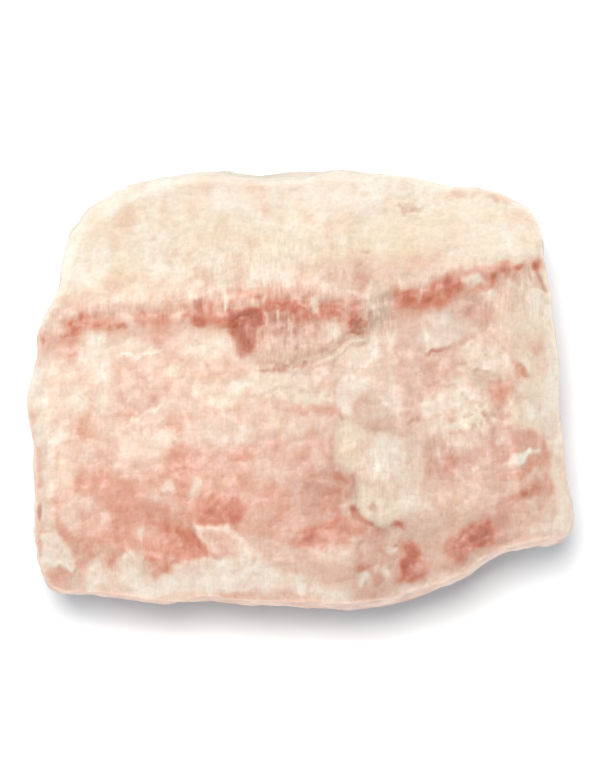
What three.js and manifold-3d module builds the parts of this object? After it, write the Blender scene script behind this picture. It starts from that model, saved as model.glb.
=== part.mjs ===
// Raw calcite: one rough block of banded pink calcite, as it broke from the vein.
// It lies on its flattest break. +X runs along the block, +Y to its cream back edge and +Z up to the
// broken upper face. The origin is on the resting face, under the middle of the block. Millimetres.

import * as THREE from "three";
import { ImprovedNoise } from "three/addons/math/ImprovedNoise.js";
import { mergeVertices } from "three/addons/utils/BufferGeometryUtils.js";
import Module from "manifold-3d";

// Driving dimensions
const crownHeight = 41; // the upper face, in front of the seam
const bellyShare = 0.74; // how far up the wall the block is widest
const bellySway = 0.15; // how far that line climbs and dips round the block
const backDrop = 13; // how far the cream shoulder falls from the seam to the back edge
const frontDrop = 2.5; // how far the face falls to the front edge
const rimRadius = 2.4; // how round the edge of the upper face is
const wallHollows = 5; // how deep the hollows of the walls are, above and below the widest line
const baseHollows = 3; // how deep the broken hollows of the underside are
const restRecess = 0.9; // how far the underside lies below the resting plane before it is cut flat

// How far the walls lean in from the widest line, to the base and to the rim, on each side
const baseInset = { left: 6, right: 7, front: 6, back: 8 };
const rimInset = { left: 0.8, right: 1.2, front: 0.8, back: 3.5 };

// The widest line of the block, seen from above, from its front left corner by way of the left wall
const outline = [
  [-51, -39.8], [-52.7, -35.5], [-53.6, -30], [-53.9, -23], [-54, -15], [-54.7, -8.5], [-55.3, -2],
  [-54.1, 3], [-53, 7], [-53.4, 11.5], [-51, 17], [-49.3, 21.5], [-48.7, 27.5], [-47.7, 32],
  [-45.5, 35.5], [-43.8, 38.2], [-40.5, 40.5], [-34.5, 44.3], [-27.5, 45.5], [-17.5, 47.3],
  [-8, 46.6], [0, 47], [8, 47.1], [14.5, 46], [21.5, 46], [30.5, 43.3], [39.5, 42.2], [44, 40.2],
  [47.6, 38], [50.2, 31.5], [51, 22], [52.6, 10.5], [52.7, -3.5], [53.4, -14], [54.6, -21],
  [55.5, -28.8], [50, -31], [40.5, -33.3], [32.5, -38.3], [25.5, -40.7], [18.5, -43.2], [10, -44],
  [0, -43.6], [-11, -43.2], [-19.5, -42.6], [-27.5, -43.2], [-33.5, -42.1], [-40.5, -41], [-48, -40.9],
].map(([x, y]) => new THREE.Vector2(x, y));
const halfLength = 55;
const halfDepth = 45;

// The iron-stained seam between the pink front and the cream back, and the groove along it
const seam = [
  [-54, 8.5], [-45, 12.5], [-27, 14.5], [-13, 14.5], [-7, 16], [4, 16.5], [10.5, 15], [19, 17],
  [31, 21], [39, 23.5], [46, 24.5], [54, 22],
];
const seamGroove = { depth: 1.6, halfWidth: 2.2 };

// The small ups and downs all over the upper face, coarse and fine
const unevenness = [{ height: 1.1, grain: 17 }, { height: 0.5, grain: 6.5 }];

// Broad swells (height above 0) and hollows (below 0) of the upper face: middle, half widths, height
const swells = [
  { name: "cream knob", at: [15, -17], size: [8, 10], height: 1.9 },
  { name: "front lip", at: [-16, -38], size: [20, 4], height: 1.1 },
  { name: "pale slab behind the hollow", at: [-5, -1], size: [16, 7], height: 1.2 },
  { name: "right rib", at: [47, -2], size: [4, 22], height: 1.0 },
  { name: "hollow behind the front lip", at: [-26, -30], size: [12, 7], height: -2.4 },
  { name: "hollow left of the knob", at: [7, -23], size: [6, 5], height: -1.6 },
  { name: "hollow in front of the knob", at: [22, -34], size: [6, 5], height: -2.0 },
  { name: "hollow by the right front edge", at: [36, -29], size: [9, 4], height: -1.7 },
  { name: "hollow above the knob", at: [14, -6], size: [5, 5], height: -1.2 },
  { name: "dip at the left edge", at: [-44, -10], size: [7, 6], height: -1.0 },
];

// The niche where a chip came out of the face below the seam. Its floor climbs a little to the back,
// where it runs out into the groove of the seam.
const niche = {
  rim: [
    [-13.2, 15], [-12.8, 10.8], [-10, 7.2], [-7.2, 5.2], [-2.4, 4], [2.4, 4.6], [7, 6.6],
    [10, 9.4], [14, 10.8], [12.6, 12.6], [10.4, 14.8], [4, 16], [-7, 15.8],
  ],
  floorClimb: 1.5, // degrees
  depthAtFrontRim: 1.7,
};

// Flat cleavage breaks on the walls: a point on the plane, and where its outward normal points.
// azimuth is seen from above, from +X towards +Y. lean is above the horizon, or below it if negative.
const breaks = [
  { name: "front wall, left", through: [-32, -41.4, 14], azimuth: 268, lean: -9 },
  { name: "front wall, middle", through: [6, -42.8, 15], azimuth: 272, lean: -13 },
  { name: "front wall, right", through: [42, -32.8, 16], azimuth: 292, lean: -7 },
  { name: "front edge, left of the middle", through: [-20, -42.6, 34.5], azimuth: 264, lean: 62 },
  { name: "right wall, front", through: [54.8, -22, 15], azimuth: 2, lean: -12 },
  { name: "right wall, back", through: [51.6, 20, 18], azimuth: 8, lean: 5 },
  { name: "right edge", through: [53.2, -2, 35], azimuth: 3, lean: 58 },
  { name: "back right corner", through: [49, 38.4, 22], azimuth: 40, lean: 9 },
  { name: "back wall, left", through: [-22, 46, 13], azimuth: 98, lean: -14 },
  { name: "back wall, right", through: [22, 46.6, 20], azimuth: 79, lean: 7 },
  { name: "back edge, middle", through: [2, 46.4, 25], azimuth: 88, lean: 52 },
  { name: "left wall, back", through: [-51.8, 17, 16], azimuth: 166, lean: -8 },
  { name: "left wall, front", through: [-53.4, -22, 15], azimuth: 183, lean: -14 },
  { name: "chip under the left front corner", through: [-44, -34, 3], azimuth: 226, lean: -42 },
  { name: "chip under the right back corner", through: [43, 32, 3], azimuth: 38, lean: -46 },
  { name: "chip under the front edge", through: [18, -38, 3], azimuth: 285, lean: -50 },
  { name: "chip under the left edge", through: [-49, 4, 3], azimuth: 172, lean: -52 },
];

const stoneColour = { color: 0xeccdb9, roughness: 0.5, metalness: 0 };

const noise = new ImprovedNoise();
const { clamp, lerp, smoothstep } = THREE.MathUtils;

// Uneven ground of about `grain` mm across, from -1 to 1
function lumps(x, y, z, grain) {
  return noise.noise(x / grain + 7.3, y / grain + 2.1, z / grain + 4.7);
}

// The uneven ground of a wall, at a place on it and a height
function wallLumps({ x, y }, z) {
  return lumps(x, y, z, 15) + 0.4 * lumps(y, x, z, 6);
}

// How far the widest line is from the middle, along a direction seen from above
function reach(direction) {
  for (let i = 0; i < outline.length; i++) {
    const a = outline[i];
    const edge = outline[(i + 1) % outline.length].clone().sub(a);
    const turn = direction.cross(edge);
    const along = direction.cross(a) / -turn;
    const distance = a.cross(edge) / turn;
    if (distance > 0 && along >= 0 && along < 1) return distance;
  }
  throw new Error("the outline doesn't go round the middle");
}

// One value for each side, blended round the block
function onSide(sides, direction) {
  const alongX = direction.x < 0 ? sides.left : sides.right;
  const alongY = direction.y < 0 ? sides.front : sides.back;
  return lerp(alongX, alongY, direction.y ** 2);
}

// The seam's Y at a place along the block
function seamAt(x) {
  let next = 1;
  while (next < seam.length - 1 && seam[next][0] < x) next++;
  const [ax, ay] = seam[next - 1];
  const [bx, by] = seam[next];
  return lerp(ay, by, clamp((x - ax) / (bx - ax), 0, 1));
}

// The height of the upper face, before its edge is rounded
function faceHeight(x, y) {
  const behindSeam = y - seamAt(x);
  const back = clamp(behindSeam / (halfDepth - seamAt(x)), 0, 1);
  const front = smoothstep(-y, halfDepth * 0.55, halfDepth);
  let z = crownHeight - backDrop * back ** 1.6 - frontDrop * front;
  z -= seamGroove.depth * Math.exp(-((behindSeam / seamGroove.halfWidth) ** 2));
  for (const { at, size, height } of swells) {
    z += height * Math.exp(-(((x - at[0]) / size[0]) ** 2) - ((y - at[1]) / size[1]) ** 2);
  }
  for (const { height, grain } of unevenness) z += height * lumps(x, y, 0, grain);
  return z;
}

// The rough block: a box grid whose walls are pushed out to the outline and whose top is the face
function roughBlock() {
  const block = new THREE.BoxGeometry(2, 2, 2, 42, 35, 11);
  block.deleteAttribute("normal");
  block.deleteAttribute("uv");
  const place = block.getAttribute("position");
  for (let i = 0; i < place.count; i++) {
    const [u, v, w] = [place.getX(i), place.getY(i), place.getZ(i)];
    const share = Math.max(Math.abs(u), Math.abs(v)); // 0 in the middle, 1 at the walls
    const direction = new THREE.Vector2(u * halfLength, v * halfDepth).normalize();
    const up = (w + 1) / 2;
    const widest = share ? reach(direction) : 0;
    const rim = direction.clone().multiplyScalar(widest - onSide(rimInset, direction));
    const edgeHeight = faceHeight(rim.x, rim.y) - rimRadius;
    const belly = bellyShare + bellySway * lumps(rim.x, rim.y, 0, 29);
    const inset = up < belly
      ? onSide(baseInset, direction) * ((belly - up) / belly) ** 1.5
      : onSide(rimInset, direction) * ((up - belly) / (1 - belly)) ** 2;
    const bulge = wallLumps(rim, up * edgeHeight) - wallLumps(rim, belly * edgeHeight);
    const hollow = wallHollows * Math.sin(Math.PI * up) * Math.max(0, bulge);
    const out = share * (widest - inset - hollow);
    const x = direction.x * out;
    const y = direction.y * out;
    const nearRim = share ? clamp(1 - (1 - share) * widest / rimRadius, 0, 1) : 0;
    const rounding = rimRadius * (1 - Math.sqrt(1 - nearRim ** 2));
    const broken = lumps(x, y, 9, 17) + 0.5 * lumps(x, y, 3, 7) + share ** 6;
    let z = up * edgeHeight;
    if (w === 1) z = faceHeight(x, y) - rounding;
    if (w === -1) z = baseHollows * broken - restRecess;
    place.setXYZ(i, x, y, z);
  }
  return mergeVertices(block, 1e-3);
}

// A big box whose one flat side lies on a cleavage plane, to cut away all beyond it
function beyond({ through, azimuth, lean }) {
  const size = 200;
  const box = new THREE.BoxGeometry(size, size, size);
  box.translate(size / 2, 0, 0);
  box.rotateY(-THREE.MathUtils.degToRad(lean));
  box.rotateZ(THREE.MathUtils.degToRad(azimuth));
  return box.translate(...through);
}

// All below the resting plane
function belowGround() {
  const size = 200;
  return new THREE.BoxGeometry(size, size, size).translate(0, 0, -size / 2);
}

// What came out of the niche: the rim's outline, cut down to the floor
function nicheChip() {
  const shape = new THREE.Shape(niche.rim.map(([x, y]) => new THREE.Vector2(x, y)));
  const chip = new THREE.ExtrudeGeometry(shape, { depth: 14, bevelEnabled: false });
  const [, frontY] = niche.rim.reduce((low, point) => (point[1] < low[1] ? point : low));
  chip.translate(0, -frontY, 0);
  chip.rotateX(THREE.MathUtils.degToRad(niche.floorClimb));
  return chip.translate(0, frontY, faceHeight(0, frontY) - niche.depthAtFrontRim);
}

const wasm = await Module();
wasm.setup();

// A closed geometry as a solid that can be cut
function solid(geometry) {
  geometry.deleteAttribute("normal");
  geometry.deleteAttribute("uv");
  const merged = mergeVertices(geometry, 1e-4);
  return new wasm.Manifold(new wasm.Mesh({
    numProp: 3,
    vertProperties: merged.getAttribute("position").array,
    triVerts: new Uint32Array(merged.index.array),
  }));
}

// A cut solid as a geometry again, with flat faces
function geometryOf(cut) {
  const mesh = cut.getMesh();
  const geometry = new THREE.BufferGeometry();
  geometry.setAttribute("position", new THREE.BufferAttribute(mesh.vertProperties, 3));
  geometry.setIndex(new THREE.BufferAttribute(mesh.triVerts, 1));
  geometry.computeVertexNormals();
  return geometry;
}

let stone = solid(roughBlock());
for (const plane of breaks) stone = stone.subtract(solid(beyond(plane)));
stone = stone.subtract(solid(nicheChip())).subtract(solid(belowGround()));

const calcite = new THREE.Mesh(geometryOf(stone), new THREE.MeshStandardMaterial(stoneColour));
calcite.name = "calcite";

const rawCalcite = new THREE.Group();
rawCalcite.add(calcite);

export default rawCalcite;
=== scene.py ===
# Raw calcite: one rough block of banded pink calcite, as it broke from its vein.

from itertools import chain, product

import bpy
import numpy as np
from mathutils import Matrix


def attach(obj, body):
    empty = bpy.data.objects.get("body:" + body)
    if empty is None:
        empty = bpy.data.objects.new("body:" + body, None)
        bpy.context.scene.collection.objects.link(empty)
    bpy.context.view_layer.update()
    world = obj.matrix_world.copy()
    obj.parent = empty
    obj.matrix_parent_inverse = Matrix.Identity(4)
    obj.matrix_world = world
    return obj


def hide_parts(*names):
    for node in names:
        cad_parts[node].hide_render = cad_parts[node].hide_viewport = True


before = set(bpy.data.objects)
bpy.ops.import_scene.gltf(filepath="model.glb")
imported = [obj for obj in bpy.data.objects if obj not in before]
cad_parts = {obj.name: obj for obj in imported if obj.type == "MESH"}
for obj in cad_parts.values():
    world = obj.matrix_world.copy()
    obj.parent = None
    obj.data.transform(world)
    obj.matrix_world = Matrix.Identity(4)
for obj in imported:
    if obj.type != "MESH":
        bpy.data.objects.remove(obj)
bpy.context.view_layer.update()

# The block. One solid piece of vein calcite, which grew in bands and broke on every side along its
# cleavage. It starts as the CAD solid, evened out to a fine grid, which is finest on the upper face,
# where the detail is. Sizes are in mm until the points go back to the mesh.
MM = 0.001
grid = 0.88 * MM

bpy.ops.object.select_all(action="DESELECT")
stone = bpy.data.objects.new("raw_calcite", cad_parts["calcite"].data.copy())
bpy.context.collection.objects.link(stone)
bpy.context.view_layer.objects.active = stone
stone.select_set(True)
bpy.ops.object.mode_set(mode="EDIT")
bpy.ops.mesh.select_all(action="SELECT")
bpy.ops.mesh.remove_doubles(threshold=0.001 * MM)
bpy.ops.object.mode_set(mode="OBJECT")
even = stone.modifiers.new("even grid", "REMESH")
even.mode = "VOXEL"
even.voxel_size = grid
bpy.ops.object.modifier_apply(modifier=even.name)
worn = stone.modifiers.new("worn facets", "SMOOTH")
worn.factor = 0.5
worn.iterations = 4
bpy.ops.object.modifier_apply(modifier=worn.name)


def read(items, field, width=3):
    """One number, or one row of numbers, for each item of a mesh"""
    values = np.empty(len(items) * width, np.float32)
    items.foreach_get(field, values)
    return values.reshape(-1, width).astype(float) if width > 1 else values.astype(float)


facing = read(stone.data.polygons, "normal")[:, 2]
level = read(stone.data.polygons, "center")[:, 2] / MM
stone.data.polygons.foreach_set("select", (facing > 0.3) & (level > 22))
bpy.context.tool_settings.mesh_select_mode = (False, False, True)
bpy.ops.object.mode_set(mode="EDIT")
bpy.ops.mesh.subdivide(number_cuts=1)
bpy.ops.object.mode_set(mode="OBJECT")

place = read(stone.data.vertices, "co") / MM
outward = read(stone.data.vertices, "normal")


def ramp(value, low, high):
    """0 below low and 1 above high, with a smooth climb between"""
    t = np.clip((value - low) / (high - low), 0, 1)
    return t * t * (3 - 2 * t)


def dice(cell, seed):
    """A random number from 0 to 1 for each cell of a grid, always the same"""
    c = cell.astype(np.int64).astype(np.uint64)
    h = c[..., 0] * np.uint64(0x9E3779B185EBCA87)
    h ^= c[..., 1] * np.uint64(0xC2B2AE3D27D4EB4F)
    h ^= c[..., 2] * np.uint64(0x165667B19E3779F9)
    h ^= np.uint64(seed * 0x27D4EB2F)
    h ^= h >> np.uint64(29)
    h *= np.uint64(0xBF58476D1CE4E5B9)
    h ^= h >> np.uint64(32)
    return (h >> np.uint64(11)).astype(float) / 2**53


def uneven(p, grain, seed):
    """Smooth random ground whose lumps are about `grain` mm across, from -1 to 1"""
    q = p / grain
    low = np.floor(q)
    t = ramp(q - low, 0, 1)
    total = 0
    for corner in product((0, 1), repeat=3):
        share = np.prod(np.where(corner, t, 1 - t), axis=-1)
        total = total + share * dice(low + corner, seed)
    return 2 * total - 1


# Calcite splits along three directions that are not quite square to each other
cleavage = np.array([[0.93, 0.32, 0.17], [-0.42, 0.88, 0.2], [-0.08, -0.3, 0.95]])


def shards(p, size, seed):
    """The cleavage blocks: each point's block, as three random numbers, its way from the middle of
    the block, and how far it is from the block's edge"""
    q = p @ cleavage.T / size
    low = np.floor(q)
    nearest = np.full(len(p), 9.0)
    second = nearest.copy()
    own = np.zeros((len(p), 3))
    way = np.zeros((len(p), 3))
    for corner in product((-1, 0, 1), repeat=3):
        cell = low + corner
        chance = np.stack([dice(cell, seed + k) for k in range(3)], -1)
        step = q - cell - chance
        far = np.abs(step).max(-1) + 0.25 * np.abs(step).sum(-1)
        closer = far < nearest
        second = np.where(closer, nearest, np.minimum(second, far))
        nearest = np.where(closer, far, nearest)
        own[closer] = chance[closer]
        way[closer] = step[closer]
    return own, way, second - nearest


def broken(p, size, step, tilt, seed):
    """Ground broken into cleavage blocks: each stands a little high or low, and leans"""
    warped = p + 0.3 * size * np.stack([uneven(p, size, seed + k) for k in (11, 12, 13)], -1)
    own, way, _ = shards(warped, size, seed)
    return step * (2 * own[:, 0] - 1) + tilt * size * ((own - 0.5) * way).sum(-1)


# Where things lie on the upper face is given in mm, as seen square on to the layers, which lean
# back by 6 degrees: x to the right and y to the back, from the middle of the block.
crown = 38
lean = np.radians(6)
drawing = np.stack([
    place[:, 0],
    place[:, 1] * np.cos(lean) + (place[:, 2] - crown) * np.sin(lean),
    np.zeros(len(place)),
], -1)
upper = ramp(outward[:, 2], 0.05, 0.4) * ramp(place[:, 2], 22, 27)

# The crystals stand upright across the face, so an edge frays into strands that run up and down
fibres = drawing * (1, 0.22, 1)
frayed = drawing[:, :2].copy()
frayed += 0.7 * np.stack([uneven(drawing, 6, seed) for seed in (31, 32)], -1)
frayed += 0.35 * np.stack([uneven(drawing, 2.2, seed) for seed in (33, 34)], -1)
frayed[:, 1] += 0.5 * uneven(fibres, 1.2, 35) + 0.3 * uneven(fibres, 0.8, 36)

# The seam between the cream back and the pink front is a sheet that runs right through the stone
seam = np.array([
    (-60, 7.6), (-52, 10), (-45, 13.6), (-40, 15.2), (-27, 16.4), (-13, 16.4), (-7, 17.2), (4, 17.6),
    (10.4, 16.6), (19, 18.6), (25, 20), (31, 22.4), (39, 24.4), (46, 24.8), (54, 24), (60, 23.6),
])
behind_seam = frayed[:, 1] - np.interp(frayed[:, 0], seam[:, 0], seam[:, 1]) + uneven(place, 11, 3)
cream_side = ramp(behind_seam, -0.8, 3.2)


def beside(line, at):
    """How far each place is to the left of a line of points, and its share of the way along it"""
    line = np.array(line, float)
    lengths = np.linalg.norm(np.diff(line, axis=0), axis=1)
    begun = np.concatenate([[0], np.cumsum(lengths)])
    nearest = np.full(len(at), 1e9)
    side = np.zeros(len(at))
    share = np.zeros(len(at))
    for i, length in enumerate(lengths):
        run = (line[i + 1] - line[i]) / length
        from_start = at - line[i]
        t = np.clip(from_start @ run, 0, length)
        off = from_start - t[:, None] * run
        distance = np.linalg.norm(off, axis=1)
        left = np.sign(run[0] * from_start[:, 1] - run[1] * from_start[:, 0])
        closer = distance < nearest
        nearest = np.where(closer, distance, nearest)
        side = np.where(closer, left * distance, side)
        share = np.where(closer, (begun[i] + t) / begun[-1], share)
    return side, share


def inside(outline, at):
    """How far each place is inside an outline, or outside it if negative"""
    corners = np.array(outline, float)
    within = np.zeros(len(at), bool)
    for (ax, ay), (bx, by) in zip(corners, np.roll(corners, -1, 0)):
        if ay != by:
            crosses = (ay > at[:, 1]) != (by > at[:, 1])
            within ^= crosses & (at[:, 0] < (bx - ax) * (at[:, 1] - ay) / (by - ay) + ax)
    edge = np.abs(beside(np.vstack([corners, corners[:1]]), at)[0])
    return np.where(within, edge, -edge)


def ledge(line, height, width):
    """A broken edge: the ground to the left of the line stands high and slopes away from it"""
    side, share = beside(line, frayed)
    ends = ramp(share, 0, 0.15) * ramp(1 - share, 0, 0.15)
    return height * ends * ramp(side, -0.5, 0.5) * np.exp(-np.maximum(side, 0) / width)


def slab(outline, height, lip=0.5):
    """A flake that stands above the ground round it, or lies below it if its height is negative"""
    return height * ramp(inside(outline, frayed), -lip, lip)


def clods(p, size, seed):
    """Blocks worn round: each stands high or low and leans, and dies away towards its edges"""
    own, way, edge = shards(p + 0.25 * size * uneven(p, size, seed)[:, None], size, seed)
    return ramp(edge, 0, 0.4) * (2 * own[:, 0] - 1 + 1.5 * ((own - 0.5) * way).sum(-1))


knob = [
    (7.4, -7), (10.2, -6), (13.4, -9), (17, -9.8), (21, -11), (24, -14.6), (25.6, -19), (25, -23.4),
    (22.4, -25.4), (19.4, -26.4), (16.6, -27.6), (14, -27), (12, -24.6), (10.6, -21.4), (9.8, -18.2),
    (7.4, -15.8), (7, -12),
]
lilac_face = [(23.2, 14.4), (30.4, 15.2), (32.4, 11.6), (30, 7.6), (24.4, 7.2)]
window_flake = [
    (-21.8, -27.4), (-18.6, -27.8), (-15.4, -27.2), (-13.4, -28.9), (-10.8, -30.2), (-9.4, -33.6),
    (-10, -36.4), (-16.6, -35), (-16.8, -33), (-18.6, -31.2), (-20.2, -29.8),
]
corner_flake = [
    (-51.5, -29.8), (-48.5, -29.4), (-47, -31), (-45.6, -33.4), (-44.4, -36), (-46.2, -36.6),
    (-49, -35.7), (-51.4, -35.6),
]
niche = [
    (-13.2, 15.2), (-12.4, 10), (-10.4, 6.8), (-7.2, 4.2), (-2, 3.4), (2.4, 4.6), (7.2, 6.6),
    (10, 9.2), (13.6, 10.4), (11.6, 14), (8, 16.4), (0, 17.2), (-7.6, 16.8),
]
cream_band = [
    (-60, 57.6), (60, 57.6), (60, 26.6), (49, 26.6), (42, 26), (36, 25.2), (31, 24.4), (26, 22.8),
    (20, 21), (13, 20.6), (6, 20.6), (-4, 20), (-14, 19.6), (-22, 19.2), (-30, 18), (-40, 17.6),
    (-48, 16), (-54, 13.2), (-60, 11.6),
]
clear_crystal = [
    (-46, -17), (-38, -15), (-30, -17), (-26, -12), (-18, -10.6), (-8, -11.4), (0, -10), (7, -10.6),
    (7, -16), (10, -19), (11, -28), (9, -31.6), (0, -31.6), (-8, -31), (-12, -28), (-21, -27),
    (-26, -36), (-31, -36), (-36, -31), (-46, -33), (-48, -28), (-46, -22),
]

# How far each point moves out: broad swells, then cleavage blocks from large to small, then fibres. The
# walls are the roughest, and the cream side of the upper face is the smoothest.
wall = 1 - upper
rugged = 1 - 0.6 * cream_side * upper
high = 0.3 * uneven(place, 24, 20) * upper
high += (0.18 + 0.29 * wall) * clods(place, 13, 21)
high += (0.045 + 0.2 * wall) * clods(place, 5.5, 22) * rugged
high += broken(place, 3.4, 0.03, 0.03 + 0.07 * wall, 23) * rugged
high += 0.08 * uneven(fibres, 1.5, 24) * rugged * upper + 0.04 * uneven(place, 1.3, 25)
broken_edges = [
    (0.105, 4, [(10, 9.2), (7.2, 6.8), (2.4, 4.8), (-2, 3.6), (-7.2, 4.4), (-10.4, 6.8), (-12.8, 11)]),
    (0.175, 2, [(-36.4, 6), (-32.8, 5.8), (-30, 7.2), (-27.6, 7.6)]),
    (-0.21, 3, [(-36.6, -8.6), (-33.2, -6.2), (-29, -4.6), (-26, -2), (-24, -1)]),
    (-0.175, 3, [(-46, -10.4), (-42, -7.4), (-40, -3.4), (-38.4, 1.6)]),
    (0.245, 3, [(23.2, 14), (24.2, 7.4), (29.8, 7.4), (34, 10.6)]),
    (0.21, 2, [(33, 4.2), (37.2, 3.4), (41.2, 1.8)]),
    (0.21, 3, [(0, -34.4), (-13, -35.6), (-18, -33.6), (-25.2, -35), (-26.6, -37.8), (-30, -37.8)]),
    (0.21, 3, [(-31, -37.4), (-31.6, -34), (-34, -32.4), (-36.4, -35), (-37.4, -39.4)]),
    (0.21, 3, [(-38, -39), (-40, -34.8), (-42.6, -36.8), (-43.4, -40)]),
    (0.245, 3, [(31, -33.6), (34.4, -29), (38.6, -27.6)]),
    (0.105, 3, [(49, -21.8), (45, -22.4), (42.2, -24.4), (43.4, -28)]),
    (-0.175, 3, [(-12, -2.8), (-5, 0), (4, -0.8), (9, 1.6)]),
    (0.14, 5, [(7.4, -8), (7, -13), (9.8, -18), (10.8, -22), (13.4, -26.4), (16.6, -27.6), (20.4, -25.8)]),
    (0.175, 3, [(-12.4, -29.4), (-15.4, -27.3), (-21.4, -27.4), (-20.4, -29.4), (-18, -32.4)]),
    (0.14, 2, [(-51.4, -35.6), (-49, -35.8), (-46.2, -36.6), (-44.6, -36)]),
]
for height, width, line in broken_edges:
    high += ledge(line, height, width) * upper
high += slab(knob, 0.25, 1.6) * upper * (1 - ramp(drawing[:, 0], 15, 24))
for flake in (window_flake, corner_flake, lilac_face):
    high += slab(flake, 0.15, 0.8) * upper
in_niche = inside(niche, frayed)
niche_foot = ramp(in_niche, -0.6, 0.6) * (1 - ramp(in_niche, 0.8, 3.6))
high += 0.5 * niche_foot * ramp(drawing[:, 0], -8, -3) * upper
high -= 0.25 * wall

# It rests on its underside, so nothing goes below the ground
underside = ramp(-outward[:, 2], 0.6, 0.95) * ramp(3 - place[:, 2], 0, 2)
high *= 1 - 0.9 * underside
high = np.where(underside > 0.5, np.minimum(high, 0), high)
moved = place + outward * high[:, None]
moved[:, 2] = np.maximum(moved[:, 2], 0)
stone.data.vertices.foreach_set("co", (moved * MM).astype(np.float32).ravel())
stone.data.update()
bpy.ops.object.shade_smooth()


def spread(values, times):
    """Evens out values over the mesh, each time from every point to its neighbours"""
    ends = read(stone.data.edges, "vertices", 2).astype(int)
    count = np.bincount(ends.ravel(), minlength=len(values))
    for _ in range(times):
        total = np.bincount(ends[:, 0], values[ends[:, 1]], len(values))
        total += np.bincount(ends[:, 1], values[ends[:, 0]], len(values))
        values = total / count
    return values


# The colours. Each tint is how pink the calcite is, how yellow (or lilac, below 0) and how dark. They
# are laid over each other on the mesh in the order they are given, and the material breaks them up.
tints = {
    "white": (0.04, -0.02, -0.06),
    "ivory": (0.04, 0.18, -0.04),
    "cream": (0.2, 0.24, 0),
    "butter": (0.17, 0.8, 0.01),
    "bruise": (0.2, -0.2, -0.04),
    "blush": (0.4, -0.1, 0),
    "peach": (0.45, 0.4, 0),
    "apricot": (0.75, 0.6, -0.02),
    "flesh": (0.65, 0.1, 0.03),
    "beige": (0.45, 0.5, 0.08),
    "lilac": (0.3, -0.5, 0.04),
    "smoke": (0.3, 0.45, 0.34),
    "rose": (0.85, -0.3, 0),
    "salmon": (1.05, 0.25, 0),
    "coral": (1.2, 0.45, -0.02),
    "rust": (1.5, 0.45, 0),
    "brown": (0.85, 0.2, 0.18),
    "maroon": (1.35, 0, 0.22),
    "umber": (1, 0.3, 0.5),
    "ember": (1.7, 0.4, 0.12),
    "frost": (0.1, -0.3, -0.06),
    "fawn": (0.42, 0.3, 0.22),
    "mauve": (0.62, -0.3, 0.2),
    "khaki": (0.28, 0.7, 0.26),
}
edge_noise = 0.3 * uneven(drawing, 2.6, 41) + 0.2 * uneven(drawing, 1.1, 42)
ragged = 0.8 * uneven(drawing, 3.2, 43) + 0.5 * uneven(drawing, 1.4, 44) + 0.4 * uneven(fibres, 1, 45)
veil = 0.9 + 0.35 * uneven(fibres, 1.8, 46) + 0.25 * uneven(drawing, 0.9, 47)


def blot(x, y, wide, deep, turn=0, soft=0.6):
    """A patch round a point, turned by some degrees"""
    a = np.radians(turn)
    dx, dy = frayed[:, 0] - x, frayed[:, 1] - y
    along = (dx * np.cos(a) + dy * np.sin(a)) / wide
    across = (dy * np.cos(a) - dx * np.sin(a)) / deep
    return 1 - ramp(np.hypot(along, across) + edge_noise, 1 - soft, 1 + soft)


def streak(line, wide, soft=0.6):
    """A stain or a vein along a line of points"""
    side, _ = beside(line, frayed)
    return 1 - ramp(np.abs(side) / wide + edge_noise, 1 - soft, 1 + soft)


def flecks(mark, grain, seed):
    """A mark broken into flecks about `grain` mm across"""
    return mark * ramp(uneven(drawing + 0.6 * ragged[:, None], grain, seed), 0, 0.45)


def patch(outline, soft=0.5):
    """A flake or a field with an outline of its own"""
    return ramp(inside(outline, frayed) + min(soft, 1) * ragged, -soft, soft)


def two_sides(front, back):
    """One colour in front of the seam and another behind it"""
    return np.outer(1 - cream_side, front) + np.outer(cream_side, back)


bands = uneven(place, 16, 51) + 0.6 * uneven(place, 6, 52)
laid = two_sides((0.62, 0.08, 0.02), (0.03, 0.26, -0.02))
laid[:, 0] += 0.12 * bands * (1 - 0.6 * cream_side)
laid[:, 1] += (0.28 - 0.08 * cream_side) * (uneven(place, 12, 53) + uneven(place, 4, 55))
seam_stain = np.exp(-(behind_seam / 1.8) ** 2) * ramp(uneven(place, 9, 54), -0.5, 0.6) * wall
laid += seam_stain[:, None] * (np.array(tints["coral"]) - laid)

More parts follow.
